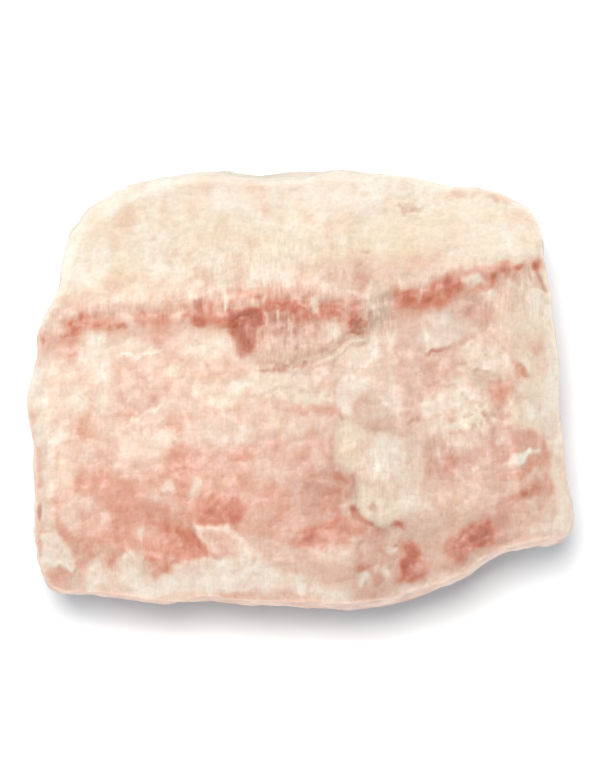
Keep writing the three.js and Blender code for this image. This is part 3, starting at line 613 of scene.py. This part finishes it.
middle_marks = [
    ("fawn", 1.1 * patch([(11.2, -4), (13, -1.4), (16, -1.2), (17.6, -3), (18.4, -6), (18.8, -9.6),
      (15.4, -10), (13.4, -7.6)], 0.8)),
    ("ember", 0.8 * patch([(-0.2, -31), (1.4, -28.6), (3.4, -26.4), (4, -29.8), (2, -30.6)], 0.4)),
    ("flesh", 0.5 * streak([(-1, -12), (-0.4, -24)], 1.4), (0.6, 5, -36, 4, 3)),
    ("salmon", 0.5 * streak([(-2, -5), (2, -4.4), (6, -4.2)], 0.9), (0.4, 5, 0.8, 2.4, 1),
     (0.5, 8, -30, 2.4, 2.4)),
    ("cream", 0.6 * streak([(-20, 0), (-14, -2), (-11, 0.6), (-7, 2)], 1.4), (0.6, 9, 6, 5, 2.4, 25),
     (0.5, 8.6, -33.6, 1.4, 1.6)),
    ("white", 0.5 * streak([(-17, -3), (-14, -2.6), (-12, 0), (-9.6, 2)], 1.1),
     0.5 * streak([(-16, -4), (-14.4, -6.4), (-12.6, -9)], 0.9), (0.4, 18, 9.4, 2.4, 1.4)),
    ("butter", (0.5, -17.6, -2.6, 1.6, 0.9), 0.5 * streak([(0, -1.6), (3, -1), (5, -1.8)], 0.7)),
    ("lilac", (0.6, -13.6, -9.6, 3, 2), (0.8, 18.6, -0.6, 1.8, 4.6)),
    ("mauve", (0.5, 16.8, -7.6, 1.8, 2), (0.5, 22.4, 2, 2.6, 5)), ("rose", (0.5, -14.6, -7.6, 1, 0.8)),
    ("peach", (0.6, -9, -5, 4, 3)),
    ("salmon", 0.3 * streak([(-12.6, -4), (-12.4, -7)], 0.6), 0.3 * streak([(-7.4, -4.4), (-7.6, -8)], 0.8)),
    ("coral", (0.5, 6.6, -5, 1.4, 1.1), (0.7, -11.6, -13.4, 3, 1.1), (0.4, -5, -11.8, 2.2, 1.4)),
    ("lilac", (0.35, -5, -15, 4, 2.6)), ("blush", (0.5, 3, 2.6, 4, 1.6), (0.6, 4.4, -14, 2, 2.2)),
    ("cream", (0.6, -2, 0.4, 5.6, 2.4), (0.5, -3, -6.4, 3, 1.6)), ("flesh", (0.5, -17, -14, 3, 2)),
    ("ivory", (0.7, 0.6, -2, 5, 1.4), (0.7, 13, 7.8, 4.6, 2.2, 15)),
    ("brown", 0.3 * streak([(20, 5), (19.4, 0)], 0.6),
     0.5 * streak([(1.2, -11.6), (1, -14.4), (2, -16.6)], 0.4),
     0.5 * streak([(6.4, -9.6), (6.8, -13), (6.4, -15.6)], 0.6)),
    ("maroon", 0.7 * patch([(6, -16.4), (8, -16), (9.6, -17.2), (10.2, -19.4), (8.6, -19), (6.4, -18)], 0.5),
     (0.8, 2.8, -19, 1.4, 0.8), (0.8, 6.2, -20.6, 1.5, 0.9),
     0.6 * flecks(blot(5.6, -22.6, 4.6, 6.6), 1.5, 64)),
    ("khaki", 0.4 * streak([(-9, -30), (-8.4, -33)], 0.8)), ("coral", (0.4, -5, -21.4, 2, 3)),
    ("flesh", (0.5, -8, -25.6, 3, 3)), ("salmon", (0.4, -12, -22, 8, 2.4)),
    ("brown", (0.4, -4, -30.6, 3.4, 1), (0.6, 4.4, -21.6, 3.4, 3.4)),
    ("umber", 0.4 * streak([(7.8, -4.4), (8.2, -6.4)], 0.35),
     0.7 * streak([(7.4, -16), (9, -16.8), (10, -18.6), (10, -20.2)], 0.4),
     0.25 * flecks(blot(6, -23, 4.4, 6.6), 0.9, 83), (0.7, 19.4, -31.8, 0.7, 0.4)),
    ("coral", (0.6, 6.6, -22.8, 2.2, 1), 0.6 * streak([(-1, -30.6), (5, -30.4)], 0.8)),
    ("rust", (0.6, 9, -26.4, 1, 0.8), (0.5, 6.8, -26.6, 1, 0.8)),
    ("frost", 0.75 * patch([(7.8, 1), (10.6, 2.8), (13.4, 2.4), (12.6, 0), (10.8, -3), (11, -5.6),
      (8.6, -5.4), (7.8, -2.4)], 0.9), (0.4, 15.4, -5.4, 1, 1), (0.5, 8.8, -23.6, 1, 0.8),
     (0.5, 5, -33.4, 1.8, 1.2)),
    ("white", (0.4, 6, -24.8, 0.4, 0.4)), ("cream", 0.85 * patch(knob, 1)),
    ("white", (0.8, 17.4, -14, 4.6, 3.4, -15)), ("peach", (0.5, 14, -19.4, 3, 2)),
    ("butter", (1, 16, -23.4, 6, 3)), ("ivory", (0.6, 11.6, -10, 2.4, 3), (0.7, 21.6, -22.4, 2.6, 1.6)),
    ("butter", (0.8, 9.8, -12.4, 1.8, 4.4)),
    ("blush", (0.6, 4, -7.6, 3, 1.6), (0.6, 24, -14.6, 2.4, 4), (0.4, 26, -20, 2, 3)),
    ("cream", (0.5, 20, -18, 4, 2.6)),
    # The khaki streaks along the knob's left edge, and the umber streak and khaki blot under its lower edge,
    # are painted shade beside the raised knob
    ("khaki", 0.5 * streak([(8, -8), (7.8, -12), (9, -16)], 0.8),
     0.6 * streak([(10.6, -20), (11, -23), (12.4, -24.6)], 0.8)),
    ("umber", (0.5, 15, -24, 0.7, 0.8)),
    ("maroon", streak([(11, -24.4), (12.2, -26), (14, -27)], 0.6),
     0.8 * streak([(18.4, -26.6), (20.6, -27.6)], 0.6)),
    ("umber", 0.7 * streak([(14.4, -27.4), (17, -27.8)], 0.35)), ("khaki", (0.5, 16, -25.8, 3, 1.2)),
    ("brown", (0.4, 3, -9.4, 1.4, 1.4), (0.6, 16, -29, 1.6, 1.2)), ("lilac", (0.6, 19, -30, 2.4, 1.4)),
    ("rust", patch([(20.8, -31), (23.8, -30.8), (25, -33), (24.4, -34.4), (25.4, -36), (24, -38.4),
      (20, -38.4), (20.4, -35.6), (21.4, -34)], 1.4)),
    ("blush", (0.8, 11.4, -28.6, 2.2, 2)),
    ("brown", 0.8 * flecks(blot(14.6, -35, 4.6, 4.6, 0, 0.4), 1.8, 65), (0.5, 15, -35, 4.4, 4)),
    ("white", 0.95 * patch([(16.6, -32.4), (18, -31.9), (19.6, -32.6), (18.8, -33.7), (17.4, -33.6)], 0.35)),
    ("maroon", (0.6, 12.4, -35.6, 1.4, 1), (0.6, 15.6, -38.6, 1.6, 1), 0.8 * patch([(21.6, -31.6),
      (23.6, -31.4), (24.2, -33), (23.4, -34.4), (24.6, -36), (23.6, -37.8), (21, -37.8), (21.6, -35.6),
      (22.4, -34)], 1)),
    ("ember", (1.1, 22.4, -36, 1.8, 2.2)),
    ("frost", (0.9, 12.5, -38.2, 1.7, 1.2), (0.9, 17.4, -37.2, 0.9, 1.6), (0.6, 15.4, -36.2, 0.7, 0.7)),
    # The first umber streak is painted shadow under the small white flake just above it
    ("umber", 0.5 * streak([(16.2, -33), (17.6, -34.3)], 0.25), (0.35, 22.8, -36.4, 1.2, 0.8)),
    ("maroon", (0.7, 23.8, -37.6, 1.6, 1.4)), ("brown", (0.5, 16, -32.8, 3, 1.6)),
]

right_marks = [
    ("blush", 0.8 * patch(lilac_face, 0.8), (0.7, 45.6, -17.6, 3, 1), (0.5, 29, -26.6, 2, 1.2)),
    ("peach", (0.8, 47, 8.4, 2, 3), (0.7, 42, 15, 5, 3.6), (0.6, 31.6, -23.4, 4, 2.6)),
    ("lilac", 0.7 * patch(lilac_face, 0.8)),
    ("cream", (0.8, 35.6, -16.2, 1.8, 1.2), (0.6, 51, -17, 1.2, 4), (0.6, 24, -25, 3, 2)),
    ("coral", 0.85 * patch([(42.8, 4.6), (44.6, 4), (46.4, 2), (45.6, 0.6), (44, 1.4)], 0.6),
     0.4 * streak([(49, -20), (45.6, -20.8), (42, -24)], 1.6, 0.9)),
    # The first two brown streaks, and the first maroon streak below, are painted shadow under the lilac
    # face's lower edge
    ("brown", 0.95 * streak([(24.8, 7), (27, 6.8), (29.4, 7)], 0.45),
     0.7 * streak([(30, 7), (32, 8.6), (34.6, 10.4)], 0.5), (0.6, 26.8, 3, 2.2, 2.6), (0.5, 30, 4.4, 1.6, 2),
     (0.5, 43.6, 4, 0.8, 0.6), (0.7, 22.6, -3, 1.1, 1),
     0.9 * streak([(40, -25.4), (42, -23), (44.2, -21.2), (47.2, -20.6)], 1.8, 0.9)),
    ("maroon", 0.5 * streak([(25.4, 6.8), (28.4, 6.8)], 0.35), (0.8, 37.6, -11.2, 1.2, 0.8),
     0.9 * streak([(40.8, -24.2), (42.4, -22.4), (44.4, -21.2), (46.6, -21)], 1, 0.9)),
    ("rose", (0.6, 21.6, 13.6, 2, 1.4), (0.4, 49, 4, 0.8, 2),
     0.7 * streak([(30.4, -33), (33.6, -29.4), (37, -27.4), (41, -26.6)], 2.4, 0.9)),
    ("cream", 0.7 * patch([(32.4, 7), (34.6, 10), (38, 9.4), (41, 7), (42, 4), (41, 1.8), (37.6, 3.4),
      (33.6, 4.2)], 0.7)),
    ("blush", 0.8 * patch([(42.6, -24.4), (45, -22.4), (48.4, -21.6), (53, -21), (54, -29), (46, -30),
      (44.4, -28)], 1.2)),
    ("beige", 0.5 * flecks(blot(48, -24.4, 4.6, 3.4), 1.2, 81)),
    ("khaki", 1.1 * patch([(33.2, 4), (37.2, 3.4), (41.6, 1.8), (40, -0.4), (37.8, -1), (35.6, 0.6)], 0.6)),
    ("coral", (0.4, 27, 0, 1.6, 0.8), (0.85, 40.2, -1, 2, 2), (0.4, 51, -22.6, 0.7, 0.6)),
    ("rust", (0.4, 39.7, -1.5, 0.9, 0.9), (0.4, 44.8, 2.6, 0.8, 0.8)),
    ("ivory", (0.6, 31.6, 0, 2.6, 2), (0.9, 45, -5.6, 3.4, 3), 0.85 * patch([(24, -3), (27, -1), (30, 0.6),
      (34, -0.6), (37.4, -2.4), (38, -6), (36.4, -8.6), (32, -8.4), (27, -8.4), (24.4, -7.4)], 1.1)),
    ("butter", (0.5, 33.6, -5, 3.6, 2.6)),
    ("frost", (0.6, 44.2, -1.4, 1.4, 1), (0.6, 26.6, -3.6, 1.6, 1.6),
     0.85 * streak([(40.2, -9.8), (40.4, -13)], 0.7), 0.4 * flecks(blot(47, -26, 4.6, 3), 1, 82),
     0.6 * streak([(45.4, -24), (45.8, -28)], 0.7), (0.5, 49, -28, 4, 1.2)),
    ("umber", (0.4, 36.8, 7.2, 0.4, 0.3), (0.35, 32.2, 5, 0.8, 0.35),
     0.35 * streak([(33.4, 4), (37.2, 3.4)], 0.35), (0.5, 22, -6.4, 0.8, 0.5), (0.5, 23.8, -6.4, 0.5, 0.6),
     (0.6, 38.4, -10.2, 0.7, 0.6), 0.5 * streak([(35.4, -14.2), (37.8, -13.8)], 0.4)),
    ("maroon", 0.9 * streak([(31.2, -32.8), (33.4, -30.4), (36, -28.6), (39, -27.8)], 1.7, 0.8)),
    ("ember", (1.2, 36, -28.6, 2.8, 1.7, 25, 0.8), (0.7, 33, -30.8, 2.2, 1.6, 40)),
    ("mauve", (0.4, 22, 9, 1.8, 3), (0.6, 41.6, -27, 2.6, 2.6)),
    ("flesh", (0.5, 39, -23.6, 4, 3), (0.5, 26.4, -34.6, 2.4, 2.6), (0.5, 16, -41, 7, 1.6),
     (0.6, 44, -18.6, 3.4, 1.6), (0.5, 36, 10.4, 3, 1.6)),
    ("salmon", (0.35, 47.2, 8, 1.2, 1.6), (0.6, 30, -5.2, 1.1, 1.6), (0.3, 35.4, -23.6, 1.2, 1)),
    ("cream", (0.5, 45, 12.6, 4, 3)), ("ivory", (0.6, 48.6, 14.6, 1.6, 4)),
    ("umber", 0.3 * flecks(blot(33, -4, 9, 6), 0.9, 66), (0.25, 36, -28.6, 2.2, 1.3, 25),
     0.3 * flecks(streak([(31.6, -32.6), (34, -30), (38, -28)], 1.7, 0.8), 1, 79)),
    ("peach", (0.5, 28, -1.6, 2, 2)), ("lilac", (0.5, 24.6, -11.6, 2.4, 2.6)),
    ("brown", 0.4 * flecks(blot(40, -7, 6, 8), 1.3, 67), 0.6 * streak([(26.2, -11), (26, -17)], 0.7),
     (0.4, 28.6, -14, 2.6, 3.4), (0.7, 47.8, -23.4, 1, 0.8), (0.4, 50.4, -25, 0.6, 0.9)),
    ("lilac", (0.5, 34, -11, 2.4, 2.4)), ("coral", (0.35, 35, -12.6, 1, 0.8)),
    ("maroon", (0.5, 30.6, -15.4, 1.1, 2)),
    ("rose", streak([(40.8, -11.2), (43.6, -9.8), (46.4, -10)], 1.2)),
    ("white", 1.1 * patch([(40.8, -14.8), (42.6, -13.2), (45.6, -12.2), (47, -12.8), (45.8, -14.2),
      (42.6, -15.2)], 0.4), 0.35 * streak([(42.6, -24.2), (45, -22.4), (48, -21.7)], 0.35)),
    # The last umber streak is painted shadow under the white chip just above it
    ("umber", 0.4 * streak([(35.6, -4.6), (37.6, -7), (38, -9.4)], 0.4),
     0.35 * streak([(30.4, -9.4), (31.4, -13.4)], 0.3),
     0.4 * streak([(41.6, -14.7), (43.4, -14.7), (46, -14)], 0.3)),
    ("blush", (0.5, 28, -9.4, 2.6, 1.4)), ("khaki", (0.3, 47, -12.4, 0.9, 0.5)),
    ("salmon", 0.8 * streak([(39, -17), (42, -16.6), (46.4, -15)], 1),
     0.7 * streak([(48.4, -11), (48.6, -15)], 0.9)),
    ("flesh", (0.8, 38, -17, 5, 4), (0.5, 48, -21.6, 2.4, 1.6), (0.5, 44, -17, 4, 2), (0.7, 46, -25, 4, 3)),
    ("frost", 0.4 * streak([(28, -11), (28.2, -15)], 0.3), (0.8, 53, -25, 2.4, 5)),
    ("brown", (0.5, 43.4, -25.6, 2.6, 3), (0.4, 40.6, -15, 2, 2), (0.4, 39.6, -9.4, 1.6, 1.6)),
    ("white", 0.35 * streak([(30.6, -11), (31.4, -13.6)], 0.25)),
]

small_marks = [
    ("brown", (0.5, 12.2, -4, 1.6, 1.4), (0.9, 39.6, -16, 2, 4), (0.6, 41, -23, 1.8, 2.4),
     (0.5, 36, 14, 1.8, 1.8), (0.9, 12, 21, 1.5, 2.6), (0.8, -5.6, 10.6, 3.2, 2.4), (0.6, 1.6, 12, 2, 1.8)),
    ("peach", (0.9, -47.6, -16, 2, 3.4), (0.9, -36, -8, 2, 1.4), (0.8, 8, -14, 1, 2),
     (0.9, 22, 20.6, 1.8, 1), (0.7, 28, 27.6, 2.4, 2), (0.7, -37, 18.2, 3, 1.4), (0.7, -29, 17.8, 3, 1.2)),
    ("ivory", (0.8, -15, -34.8, 3, 1.2), (0.7, 28, -8, 2, 1.4), (0.8, 50, -11, 1.4, 2),
     (0.6, 24, 10.4, 1.2, 2), (0.7, -52.2, 1, 1.4, 4), (0.6, 50.4, -5.4, 1.4, 2.4)),
    ("apricot", (1.1, -23.4, -6.4, 2.6, 2), (0.8, -34.4, 2, 2, 1.8), (0.8, -26, 0, 1.8, 2),
     (0.8, -14.6, 4, 3.8, 2.2)),
    ("coral", (0.6, -28, -29.8, 2.6, 1.6), (0.8, -22, -25, 1.4, 2), (0.7, 5, -28.2, 3.4, 1.4),
     (0.8, -16, 14, 2, 0.9)),
    ("ember", (1, -11.8, 13.4, 1.6, 1.6), (0.7, -20.2, 14, 1.2, 1.6)),
    ("fawn", (0.9, 22.6, 22.8, 4, 1.8), (0.8, 8, 20.6, 4, 1.2)), ("cream", (0.9, 32.2, 4, 1.4, 1)),
    # The khaki blot is painted shade under the knob's lower edge
    ("khaki", (0.7, 16.6, -26, 2.8, 1.1)), ("rose", (0.5, 24, 15.4, 1.8, 1)),
    ("blush", (0.9, -30.4, -37, 1.4, 2.2), (0.8, -32.4, -34.4, 1.4, 1.6), (0.9, -50, -36, 1.4, 1.2),
     (0.5, -44, -34.4, 1.6, 1.6), (0.8, 23.6, -28.6, 2.4, 1.8), (0.8, 34, 20.4, 1.4, 1),
     (0.8, 6, 18.4, 3, 0.9), (0.6, -36, 14.6, 2.6, 1.4), (0.8, -50.6, 11.4, 2.4, 2),
     (0.7, -48, 14.6, 2, 1.4), (0.8, 24, 13.8, 1.4, 1.4)),
    ("flesh", (0.6, -28, -36, 1.6, 1.4), (0.8, -38.4, -33, 1.2, 2), (0.9, -6, -32, 2.4, 1.2),
     (0.6, 4, -34, 2.4, 1.4), (0.9, 19.6, -36, 1, 2), (0.6, 16, -38.4, 1.4, 1), (0.8, 36.4, -32.2, 2, 1),
     (0.7, 31, 22.6, 2, 1), (1.2, -10.4, 16.6, 3, 1), (0.7, -3, 18.4, 2.4, 1)),
    ("salmon", (0.7, -18.4, -32.2, 1.4, 1), (0.7, -22.4, -16, 1.4, 2), (0.5, -17, -16, 3.4, 1.8),
     (0.5, -12, -11.6, 2.4, 1.4), (0.9, 10, -28.2, 3, 1.6), (0.8, 6, -30.4, 3, 1.4),
     (0.6, 11.8, -26.4, 1.2, 1), 0.8 * streak([(39.6, -17.4), (43, -17), (47, -15.4)], 0.9),
     (0.6, -12, 18.4, 2, 1.2), (0.8, -24, 16, 1.8, 1)),
    ("maroon", (1, 23.8, -35.8, 1.4, 1.8), (0.5, 23.6, -32.4, 1.2, 1.4)),
    ("rust", (0.7, -14.2, -24, 1.6, 2), (0.6, 2, -28.4, 1.4, 1.4)), ("frost", (0.7, -50.2, -35, 1.2, 1.6)),
    ("white", (0.5, -33.6, -38.2, 5, 1.6)),
]

fibrous_marks = [
    0.5 * streak([(-52, 11), (-42, 15), (-22, 16.6), (10, 17.6), (32, 22), (50, 23)], 3.6, 0.9),
    0.8 * patch(niche, 0.8), (0.9, -4, 18, 16, 4, 0, 0.9), (0.55, -6, 24, 17, 8, 0, 0.9),
    (0.8, 16, 15, 5, 6), (0.6, 42, 18, 9, 6, 0, 0.9), (0.5, -30, -33, 20, 6, 0, 0.9),
    (0.5, 15, -18, 9, 9, 0, 0.9), (0.5, 32, -12, 10, 6, 0, 0.9),
]


def strength(mark):
    """How strong a mark is at each point, whether it is given whole or as a blot's numbers"""
    return mark[0] * blot(*mark[1:]) if isinstance(mark, tuple) else mark


shown = ramp(outward[:, 2], -0.1, 0.15) * ramp(place[:, 2], 21, 28)
for tint, *marks in chain(fields, back_band, seam_marks, niche_marks, left_marks, front_marks,
                          middle_marks, right_marks, small_marks):
    for mark in marks:
        share = np.clip(strength(mark) * shown * veil, 0, 1)[:, None]
        laid += share * (np.array(tints[tint]) - laid)

# Small chips show white on the walls, where the block was broken out
chips = 0.6 * ramp(uneven(place, 3.4, 56) + 0.4 * uneven(place, 1.4, 57), 0.1, 0.5) * wall
laid += chips[:, None] * (np.array(tints["bruise"]) - laid)

# The rim is bruised pale all round
rim = 0.75 * ramp(place[:, 2], 25, 31) * (1 - ramp(outward[:, 2], 0.35, 0.85)) * (1 - 0.5 * edge_noise)
off_niche = 1 - ramp(in_niche, -2.5, -1.5)
rim *= off_niche
laid += rim[:, None] * (two_sides((0.35, -0.05, -0.06), (0.03, -0.05, -0.06)) - laid)

# Painted shade: the clear crystal in front of the seam is laid darker than the bruised cream and its own
# edges
front_painted_shade = (1 - cream_side) * (1 - rim) * (1 - 0.5 * ramp(laid[:, 0], 0.7, 1.1))
front_painted_shade *= 1 - ramp(-drawing[:, 1], 32, 37) * (1 - ramp(drawing[:, 0], 6, 14))
front_painted_shade *= (1 - 0.8 * ramp(drawing[:, 0], 38, 47)) * (1 - 0.8 * ramp(-drawing[:, 0], -8, 24))
laid[:, 2] += 0.22 * front_painted_shade

# What turns from the lamp is laid paler, and the front and the two ends less yellow
front_wall = ramp(-outward[:, 1], 0.4, 0.9) * ramp(place[:, 2], 8, 20)
laid += front_wall[:, None] * (0.15, 0, -0.22)
laid[:, 1] -= 0.16 * np.maximum(ramp(-drawing[:, 1], 6, 30), ramp(-drawing[:, 0], 44, 50)) * (1 - cream_side)
laid[:, 1] -= 0.12 * ramp(drawing[:, 1], 35, 41) + 0.25 * ramp(-drawing[:, 1], 33, 40)
laid[:, 1] -= 0.15 * ramp(drawing[:, 0], 50, 54)
laid[:, 2] -= 0.3 * (1 - ramp(outward[:, 2], 0.45, 0.97)) * ramp(place[:, 2], 18, 28) * off_niche
laid[:, 2] -= 0.25 * ramp(outward[:, 1], 0.15, 0.5) * ramp(in_niche, -1, 0)

# Painted highlight and shade: crests of the relief are laid whiter, partly as bruised edges, and hollows
# pinker and darker
crest = np.clip(high - spread(high, 24), -0.15, 0.15)
laid[:, 0] -= 0.6 * crest
laid[:, 2] += 0.4 * np.maximum(-crest, 0)

# The crystals show as upright fibres beside the seam and in the niche, and less elsewhere
fibrous = 0.26 - 0.12 * cream_side
for mark in fibrous_marks:
    fibrous = np.maximum(fibrous, strength(mark))
for name, values in (*zip(("pink", "warm", "dark"), laid.T), ("fibrous", fibrous)):
    kept = stone.data.attributes.new(name, "FLOAT", "POINT")
    kept.data.foreach_set("value", values.astype(np.float32))

# The calcite: translucent crystal from cream to salmon, clouded where it is bruised.
calcite = bpy.data.materials.new("banded pink calcite")
calcite.use_nodes = True
tree = calcite.node_tree
tree.nodes.clear()


def plug(socket, value):
    """Sets a socket to a value, or links another node's output to it"""
    if isinstance(value, bpy.types.NodeSocket):
        tree.links.new(value, socket)
    else:
        socket.default_value = value


def put(kind, settings=(), **sockets):
    """Adds a node, with its settings and what its sockets are given"""
    node = tree.nodes.new("ShaderNode" + kind)
    for key, value in dict(settings).items():
        setattr(node, key, value)
    for key, value in sockets.items():
        plug(node.inputs[key.replace("_", " ")], value)
    return node


def tone(red, green, blue):
    """A colour given in 0 to 255 screen values"""
    screen = np.array([red, green, blue]) / 255
    linear = np.where(screen > 0.04045, ((screen + 0.055) / 1.055) ** 2.4, screen / 12.92)
    return (*linear, 1)


def blend(share, under, over, way="MIX"):
    """One colour over another"""
    node = put("Mix", {"data_type": "RGBA", "blend_type": way})
    for index, value in ((0, share), (6, under), (7, over)):
        plug(node.inputs[index], value)
    return node.outputs[2]


def reckon(way, *values, kind="Math"):
    """Sums with numbers, or with places if the kind is VectorMath"""
    node = put(kind, {"operation": way})
    for index, value in enumerate(values):
        plug(node.inputs[index], value)
    return node.outputs["Value" if kind == "Math" or way == "DOT_PRODUCT" else "Vector"]


where = put("TexCoord").outputs["Object"]


def grains(size, detail=4.0, at=where, warp=0.0):
    """Cloudy noise whose lumps are about `size` mm across, round 0"""
    cloud = put("TexNoise", Vector=at, Scale=1 / (size * MM), Detail=detail, Roughness=0.55,
                Distortion=warp).outputs[0]
    return reckon("SUBTRACT", cloud, 0.5)


def feathers(size, wander, seed):
    """Flakes about `size` mm across: each is bruised white at one edge and clears towards the other"""
    grain = size * MM
    cloud = put("TexNoise", Vector=where, Scale=0.8 / grain, Detail=2.0).outputs["Color"]
    strayed = reckon("MULTIPLY_ADD", cloud, (grain * wander,) * 3, where, kind="VectorMath")
    strayed = reckon("ADD", strayed, (seed * 0.013, seed * 0.007, seed * 0.011), kind="VectorMath")
    cells = put("TexVoronoi", Vector=strayed, Scale=1 / grain)
    way = reckon("SUBTRACT", strayed, cells.outputs["Position"], kind="VectorMath")
    return reckon("DOT_PRODUCT", way, tuple(c / grain for c in (0.35, -0.85, 0.4)), kind="VectorMath")


fine = grains(0.8)
middle = grains(2.6, 2.4, warp=0.4)
broad = grains(8)
upright = put("Mapping", Vector=where, Scale=(1, 0.2, 0.4)).outputs[0]

large_flakes = feathers(5.5, 0.5, 1)
small_flakes = feathers(2.1, 0.6, 2)


def painted(name):
    """What was laid on the mesh under a name"""
    return put("Attribute", {"attribute_name": name}).outputs["Fac"]


threads = reckon("MULTIPLY", grains(0.55, at=upright), painted("fibrous"))
strands = reckon("MULTIPLY", grains(1.4, at=upright), painted("fibrous"))


def added(*terms):
    """The sum of (value, amount) pairs"""
    total = 0.0
    for value, amount in terms:
        total = reckon("MULTIPLY_ADD", value, amount, total)
    return total


unrest = added((painted("pink"), 0.7), (0.4, 1))
clouds = added((broad, 0.5), (middle, 0.12), (threads, 0.3), (strands, 0.35), (large_flakes, 0.1),
               (small_flakes, 0.05))
pink = reckon("MULTIPLY_ADD", clouds, unrest, painted("pink"))
# The colours from the whitest calcite to the darkest iron stain, by how pink they are
stops = [
    (-0.1, (254, 244, 230)), (0.0, (253, 239, 221)), (0.25, (250, 225, 203)), (0.5, (244, 206, 183)),
    (0.75, (237, 186, 162)), (1.0, (229, 163, 136)), (1.25, (220, 140, 112)), (1.5, (207, 117, 88)),
    (2.0, (182, 84, 54)),
]
whitest, reddest = stops[0][0], stops[-1][0]
span = reddest - whitest
shades = put("ValToRGB", Fac=reckon("MULTIPLY_ADD", pink, 1 / span, -whitest / span))
band = shades.color_ramp
while len(band.elements) < len(stops):
    band.elements.new(0.5)
for element, (value, screen) in zip(band.elements, stops):
    element.position = (value - whitest) / span
    element.color = tone(*screen)
colour = shades.outputs[0]
warm = added((painted("warm"), 1), (middle, 0.6), (broad, 1.6))
colour = blend(reckon("MAXIMUM", warm, 0.0), colour, (1, 0.97, 0.86, 1), "MULTIPLY")
lilac = reckon("MULTIPLY", reckon("MINIMUM", warm, 0.0), -1.0)
colour = blend(lilac, colour, (0.955, 0.97, 1, 1), "MULTIPLY")
dark = added((painted("dark"), 1), (middle, 0.1), (fine, 0.1), (threads, 0.4))
colour = blend(dark, colour, (0.45, 0.36, 0.32, 1), "MULTIPLY")
brightness = added((reckon("MINIMUM", dark, 0.0), -0.6), (fine, 0.25), (threads, -0.4), (strands, -0.1),
                   (small_flakes, -0.04), (middle, -0.03), (0.664, 1))
colour = blend(1.0, colour, brightness, "MULTIPLY")

grit = added((fine, 0.6), (threads, 0.6), (small_flakes, 0.3), (large_flakes, 0.2), (middle, 0.3))
bump = put("Bump", Strength=0.35, Distance=0.25 * MM, Height=grit)
dullness = put("MapRange", {"interpolation_type": "SMOOTHSTEP"}, Value=middle, From_Min=-0.2, From_Max=0.2,
               To_Min=0.42, To_Max=0.62)
shader = put("BsdfPrincipled", Base_Color=colour, Roughness=dullness.outputs[0], IOR=1.5,
             Normal=bump.outputs[0], Subsurface_Weight=0.35, Subsurface_Radius=(1.0, 0.55, 0.4),
             Subsurface_Scale=0.8 * MM)
put("OutputMaterial", Surface=shader.outputs[0])
stone.data.materials.clear()
stone.data.materials.append(calcite)

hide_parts("calcite")
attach(stone, "root")

# The stage. A plain pale floor, a big soft lamp overhead, a little behind and to the left, and an even
# white sky.
bpy.ops.mesh.primitive_plane_add(size=3)
floor = bpy.context.object
floor.name = "floor"
paper = bpy.data.materials.new("pale paper")
paper.use_nodes = True
sheet = paper.node_tree.nodes["Principled BSDF"].inputs
sheet["Base Color"].default_value = (0.92, 0.92, 0.92, 1)
sheet["Roughness"].default_value = 0.9
sheet["Specular IOR Level"].default_value = 0.0
floor.data.materials.append(paper)

sky = bpy.data.worlds.new("white sky")
sky.use_nodes = True
sky.node_tree.nodes["Background"].inputs[0].default_value = (0.8, 0.91, 1, 1)
sky.node_tree.nodes["Background"].inputs[1].default_value = 0.62
bpy.context.scene.world = sky

bpy.ops.object.light_add(type="AREA", location=(-0.07, 0.1, 1.2))
softbox = bpy.context.object
softbox.name = "softbox"
softbox.data.shape = "SQUARE"
softbox.data.size = 0.36
softbox.data.energy = 14.2
softbox.data.color = (1, 0.975, 0.94)
softbox.rotation_euler = (-softbox.location).to_track_quat("-Z", "Y").to_euler()

# The camera looks down steeply at the crown, from 1 m away and a little in front
view = bpy.data.cameras.new("camera")
camera = bpy.data.objects.new("camera", view)
bpy.context.collection.objects.link(camera)
view.sensor_fit = "HORIZONTAL"
view.sensor_width = 36
view.lens = 300
view.clip_end = 10
tilt = np.radians(84)
camera.location = (0, -np.cos(tilt), crown * MM + np.sin(tilt))
camera.rotation_euler = (np.pi / 2 - tilt, 0, 0)
bpy.context.scene.camera = camera
bpy.context.scene.view_settings.view_transform = "Standard"
